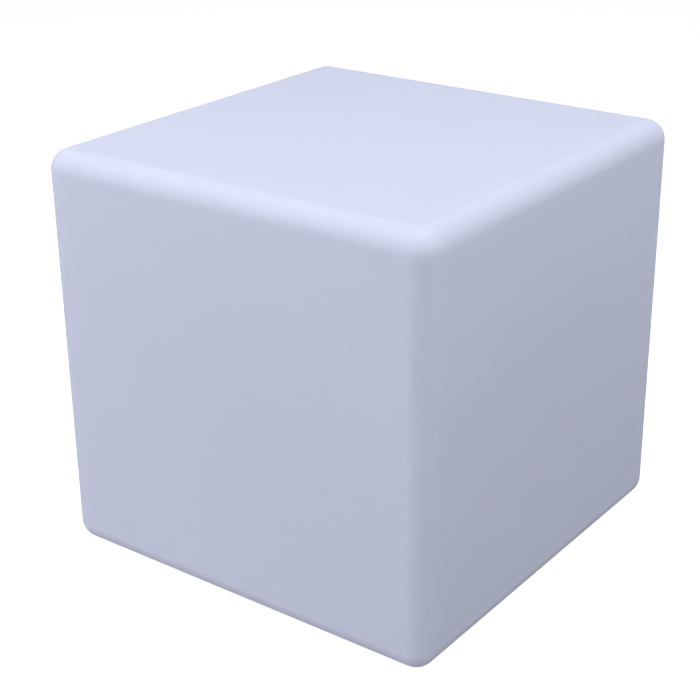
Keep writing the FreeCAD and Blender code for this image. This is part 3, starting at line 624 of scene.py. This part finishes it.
def plug_profile():
    """The plug that closes the socket, as (radius, height), with a tapered end."""
    end = COVER_THICKNESS + PLUG_LENGTH
    profile = [(0, PLUG_BOTTOM), (PLUG_RADIUS, PLUG_BOTTOM), (PLUG_RADIUS, COVER_THICKNESS)]
    return profile + [(PLUG_RADIUS - PLUG_TAPER, end), (0, end)]


def stem_profile(top):
    """The stem that holds the cover's fixed end, as (radius, height), with a bulb on top."""
    neck = top - BULB_HEIGHT
    profile = [(0, STEM_BOTTOM), (STEM_RADIUS, STEM_BOTTOM), (STEM_RADIUS, neck)]
    return profile + [(BULB_RADIUS, neck), (BULB_RADIUS, top), (0, top)]


def build_ribs():
    """Three ribs on the cover's free end, to grip it by."""
    low, high = box_of("charge_cover")
    parts = []
    circle = ring_points(RIB_SIDES)
    for number in range(RIB_COUNT):
        x = high.x - RIB_SETBACK - number * RIB_PITCH * MM
        half = (RIB_HALF + number) * MM
        rings = []
        for step in range(RIB_STEPS + 1):
            turn = math.pi * step / RIB_STEPS
            along = -half * math.cos(turn)
            size = RIB_RADIUS * max(RIB_END_SHARE, math.sin(turn)) ** RIB_END_POWER
            centre = Vector((x, along, low.z + RIB_RADIUS))
            rings.append([centre + Vector((size * a, 0, size * b)) for a, b in circle])
        parts.append(loft(rings))
    ribs = facing_out(make_object("grip_ribs", *joined(parts)))
    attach(ribs, "cover")
    return finish_with(ribs, "cover_rubber")


def ring_points(count):
    """Evenly spaced points on a circle of radius 1."""
    turns = [2 * math.pi * number / count for number in range(count)]
    return [(math.cos(turn), math.sin(turn)) for turn in turns]


build_cover()
build_ribs()


# ---- floor, light and camera ----

FLOOR_GLOW = 0.69
FLOOR_DARK = (0.90, 0.90, 0.90, 1)
FLOOR_LIGHT = (0.93, 0.93, 0.93, 1)
FLOOR_GRAIN = 30.0
FLOOR_HALF = 12.0
CLEAR_WHITE = (1, 1, 1, 1)

LAMP_COLOR = (0.877, 0.893, 1.0)
GROUND_LIGHT = (0.123, 0.125, 0.140, 1)
SIDE_LIGHT = (0.449, 0.457, 0.512, 1)
SKY_LIGHT = (0.141, 0.144, 0.161, 1)

# Each lamp's name, azimuth and elevation, distance and size in metres, and power in watts.
LAMPS = (
    ("top_lamp", 37, 88, 1.5, 1.6, 14.5),
    ("left_lamp", -35, 40, 1.5, 1.2, 8.5),
    ("right_lamp", 95, 38, 1.5, 1.2, 7.8),
    ("front_fill", 37, 10, 2.2, 1.4, 7.2),
    ("floor_bounce", -25, -20, 2.2, 1.4, 10.6),
)

# The picture's camera: where it looks from, its roll, its distance and how far it is off centre.
CAMERA_AZIMUTH = 36.79
CAMERA_ELEVATION = 23.59
CAMERA_ROLL = -0.593
CAMERA_DISTANCE = 1.4412
CAMERA_RIGHT = 0.01530
CAMERA_UP = 0.01626
CAMERA_LENS = 79.52
CAMERA_SENSOR = 36


def direction(azimuth, elevation):
    """The way from the cube to a place round it. Azimuth 0 is -Y and 90 is +X."""
    a, e = math.radians(azimuth), math.radians(elevation)
    return Vector((math.sin(a) * math.cos(e), -math.cos(a) * math.cos(e), math.sin(e)))


def build_floor():
    """A white floor that only the camera sees, and only from above."""
    n = Nodes("floor_white")
    sees = n.add("ShaderNodeLightPath").outputs["Is Camera Ray"]
    behind = n.add("ShaderNodeNewGeometry").outputs["Backfacing"]
    above = n.add("ShaderNodeMath", {0: 1.0, 1: behind}, operation="SUBTRACT")
    shown = n.add("ShaderNodeMath", {0: sees, 1: above.outputs[0]}, operation="MULTIPLY")
    grain = n.add("ShaderNodeTexNoise", {"Scale": FLOOR_GRAIN})
    tint = n.add("ShaderNodeValToRGB", {"Fac": grain.outputs["Fac"]})
    tint.color_ramp.elements[0].color = FLOOR_DARK
    tint.color_ramp.elements[1].color = FLOOR_LIGHT
    white = n.add("ShaderNodeBsdfDiffuse", {"Color": tint.outputs["Color"]})
    glow = n.add("ShaderNodeEmission", {"Color": CLEAR_WHITE, "Strength": FLOOR_GLOW})
    lit = n.add("ShaderNodeAddShader", {0: white.outputs[0], 1: glow.outputs[0]})
    clear = n.add("ShaderNodeBsdfTransparent")
    mix = n.add(
        "ShaderNodeMixShader", {0: shown.outputs[0], 1: clear.outputs[0], 2: lit.outputs[0]}
    )
    far = FLOOR_HALF
    corners = [(-far, -far, 0), (far, -far, 0), (far, far, 0), (-far, far, 0)]
    floor = make_object("floor", corners, [[0, 1, 2, 3]])
    floor.data.materials.append(n.finish(mix.outputs[0]))
    floor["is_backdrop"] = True


def build_world():
    """White to the camera. To all else a soft room, brightest at eye level."""
    world = bpy.data.worlds.new("studio")
    bpy.context.scene.world = world
    world.use_nodes = True
    tree = world.node_tree
    tree.nodes.clear()
    place = tree.nodes.new("ShaderNodeTexCoord")
    split = tree.nodes.new("ShaderNodeSeparateXYZ")
    ramp = tree.nodes.new("ShaderNodeValToRGB")
    height = tree.nodes.new("ShaderNodeMapRange")
    height.inputs["From Min"].default_value = -1
    tree.links.new(place.outputs["Generated"], split.inputs[0])
    tree.links.new(split.outputs["Z"], height.inputs["Value"])
    tree.links.new(height.outputs["Result"], ramp.inputs["Fac"])
    stops = ramp.color_ramp.elements
    stops[0].color = GROUND_LIGHT
    stops[1].color = SKY_LIGHT
    ramp.color_ramp.elements.new(0.5).color = SIDE_LIGHT
    light = tree.nodes.new("ShaderNodeBackground")
    tree.links.new(ramp.outputs["Color"], light.inputs["Color"])
    white = tree.nodes.new("ShaderNodeBackground")
    white.inputs["Color"].default_value = CLEAR_WHITE
    rays = tree.nodes.new("ShaderNodeLightPath")
    mix = tree.nodes.new("ShaderNodeMixShader")
    tree.links.new(rays.outputs["Is Camera Ray"], mix.inputs[0])
    tree.links.new(light.outputs[0], mix.inputs[1])
    tree.links.new(white.outputs[0], mix.inputs[2])
    output = tree.nodes.new("ShaderNodeOutputWorld")
    tree.links.new(mix.outputs[0], output.inputs["Surface"])


def add_softbox(name, azimuth, elevation, distance, size, power):
    """A square lamp that faces the cube's middle."""
    way = direction(azimuth, elevation)
    data = bpy.data.lights.new(name, "AREA")
    data.size = size
    data.energy = power
    data.color = LAMP_COLOR
    lamp = bpy.data.objects.new(name, data)
    lamp.location = middle_of("shell") + way * distance
    lamp.rotation_euler = way.to_track_quat("Z", "Y").to_euler()
    bpy.context.collection.objects.link(lamp)


def build_lights():
    """Soft lamps overhead and on either side, a front fill, and the floor's bounce at the left."""
    for lamp in LAMPS:
        add_softbox(*lamp)


def build_camera():
    """The camera that took the picture, as fitted to the cube's outline."""
    back = direction(CAMERA_AZIMUTH, CAMERA_ELEVATION)
    a = math.radians(CAMERA_AZIMUTH)
    level = Vector((math.cos(a), math.sin(a), 0))
    up = back.cross(level)
    roll = math.radians(CAMERA_ROLL)
    right = level * math.cos(roll) + up * math.sin(roll)
    top = up * math.cos(roll) - level * math.sin(roll)
    data = bpy.data.cameras.new("camera")
    data.lens = CAMERA_LENS
    data.sensor_width = CAMERA_SENSOR
    camera = bpy.data.objects.new("camera", data)
    turn = Matrix((right, top, back)).transposed().to_4x4()
    place = back * CAMERA_DISTANCE - right * CAMERA_RIGHT - top * CAMERA_UP
    camera.matrix_world = Matrix.Translation(middle_of("shell") + place) @ turn
    bpy.context.collection.objects.link(camera)
    bpy.context.scene.camera = camera


build_floor()
build_world()
build_lights()
build_camera()
bpy.context.scene.view_settings.view_transform = "Standard"


def write_sizes(at_load, at_end):
    """Puts the frame's bounds at both ends of the script into plain lists, which are then dropped.
    """

    def plain(value):
        if isinstance(value, dict):
            return {key: plain(item) for key, item in value.items()}
        if isinstance(value, (list, tuple, Vector)):
            return [plain(item) for item in value]
        return value if isinstance(value, (str, int, bool, type(None))) else float(value)

    {"load": plain(at_load), "end": plain(at_end)}


write_sizes(bounds_at_load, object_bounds())
